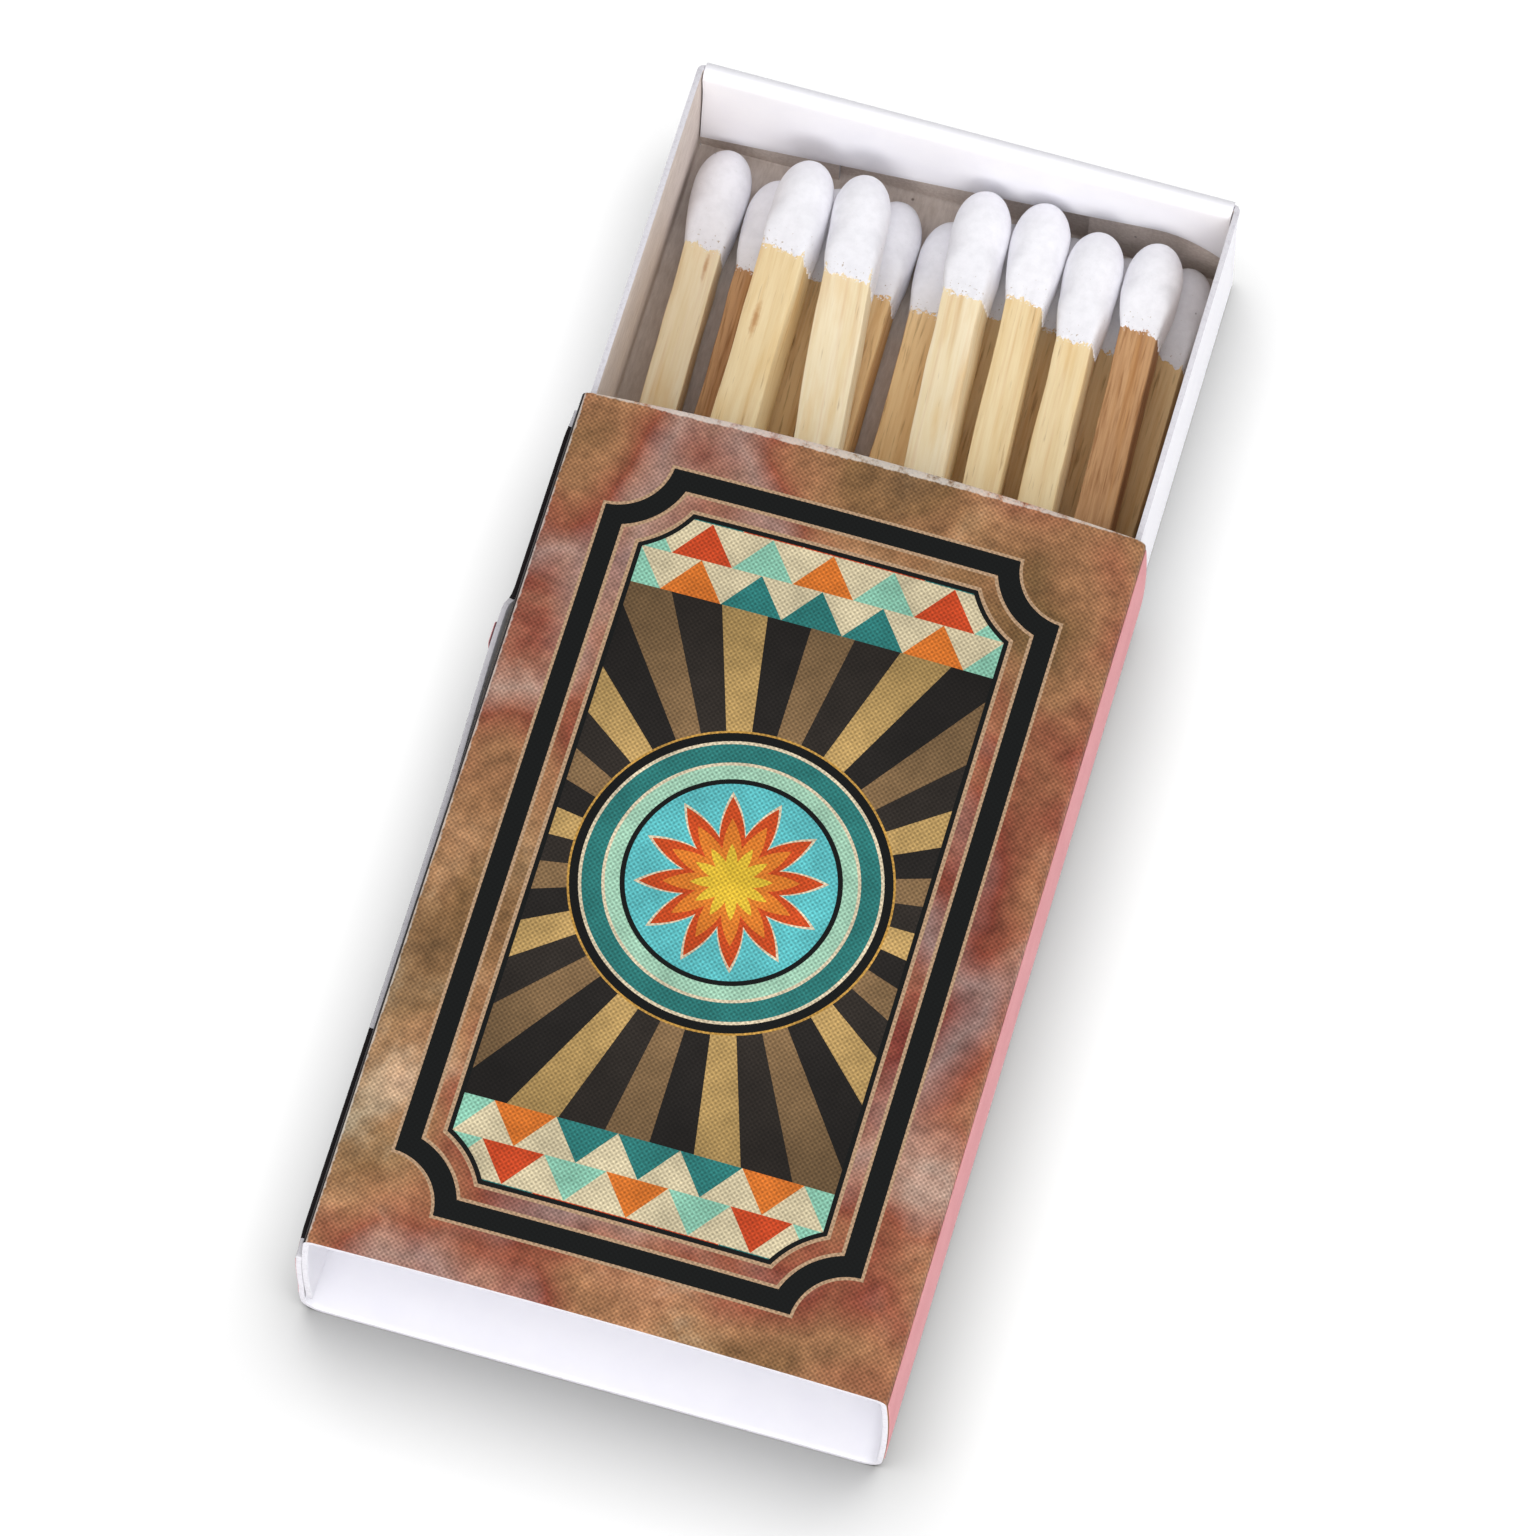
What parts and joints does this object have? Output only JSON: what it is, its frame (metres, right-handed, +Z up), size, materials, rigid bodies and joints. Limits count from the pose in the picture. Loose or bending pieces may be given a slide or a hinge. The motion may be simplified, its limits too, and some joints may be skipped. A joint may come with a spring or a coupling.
{
  "type": "matchbox",
  "caption": "Card matchbox: a printed sleeve open at both ends with a striking strip on each side, and a sliding folded card tray of white-headed wooden matches.",
  "frame": {"origin": "middle of the sleeve's flat base, on the surface it lies on", "axes": "+Z up through the cover panel, +Y along the box towards the end where the tray stands open, +X across to the right"},
  "size_m": [0.0373, 0.0826, 0.012],
  "materials": {
    "printed_board": "coated folding boxboard, printed outside in copper brown with a geometric design, white inside",
    "glue": "dried white glue film",
    "striker": "dusty pink fine gritty striking coat",
    "tray_board": "white coated folding boxboard outside, uncoated grey-brown inside",
    "match_wood": "sawn pale aspen, bare",
    "match_head": "white chalky match composition"
  },
  "bodies": {
    "sleeve": {"sleeve": "printed_board", "sleeve_glue_seam": "glue", "striker_right": "striker", "striker_left": "striker"},
    "tray": {"tray": "tray_board", "match_01_stick": "match_wood", "match_01_head": "match_head", "match_02_stick": "match_wood", "match_02_head": "match_head", "match_03_stick": "match_wood", "match_03_head": "match_head", "match_04_stick": "match_wood", "match_04_head": "match_head", "match_05_stick": "match_wood", "match_05_head": "match_head", "match_06_stick": "match_wood", "match_06_head": "match_head", "match_07_stick": "match_wood", "match_07_head": "match_head", "match_08_stick": "match_wood", "match_08_head": "match_head", "match_09_stick": "match_wood", "match_09_head": "match_head", "match_10_stick": "match_wood", "match_10_head": "match_head", "match_11_stick": "match_wood", "match_11_head": "match_head", "match_12_stick": "match_wood", "match_12_head": "match_head", "match_13_stick": "match_wood", "match_13_head": "match_head", "match_14_stick": "match_wood", "match_14_head": "match_head", "match_15_stick": "match_wood", "match_15_head": "match_head"}
  },
  "joints": [
    {"name": "tray_slide", "type": "slide", "parent": "sleeve", "child": "tray", "axis": [0, 1, 0], "range_m": [-0.0748, 0.0252]}
  ]
}
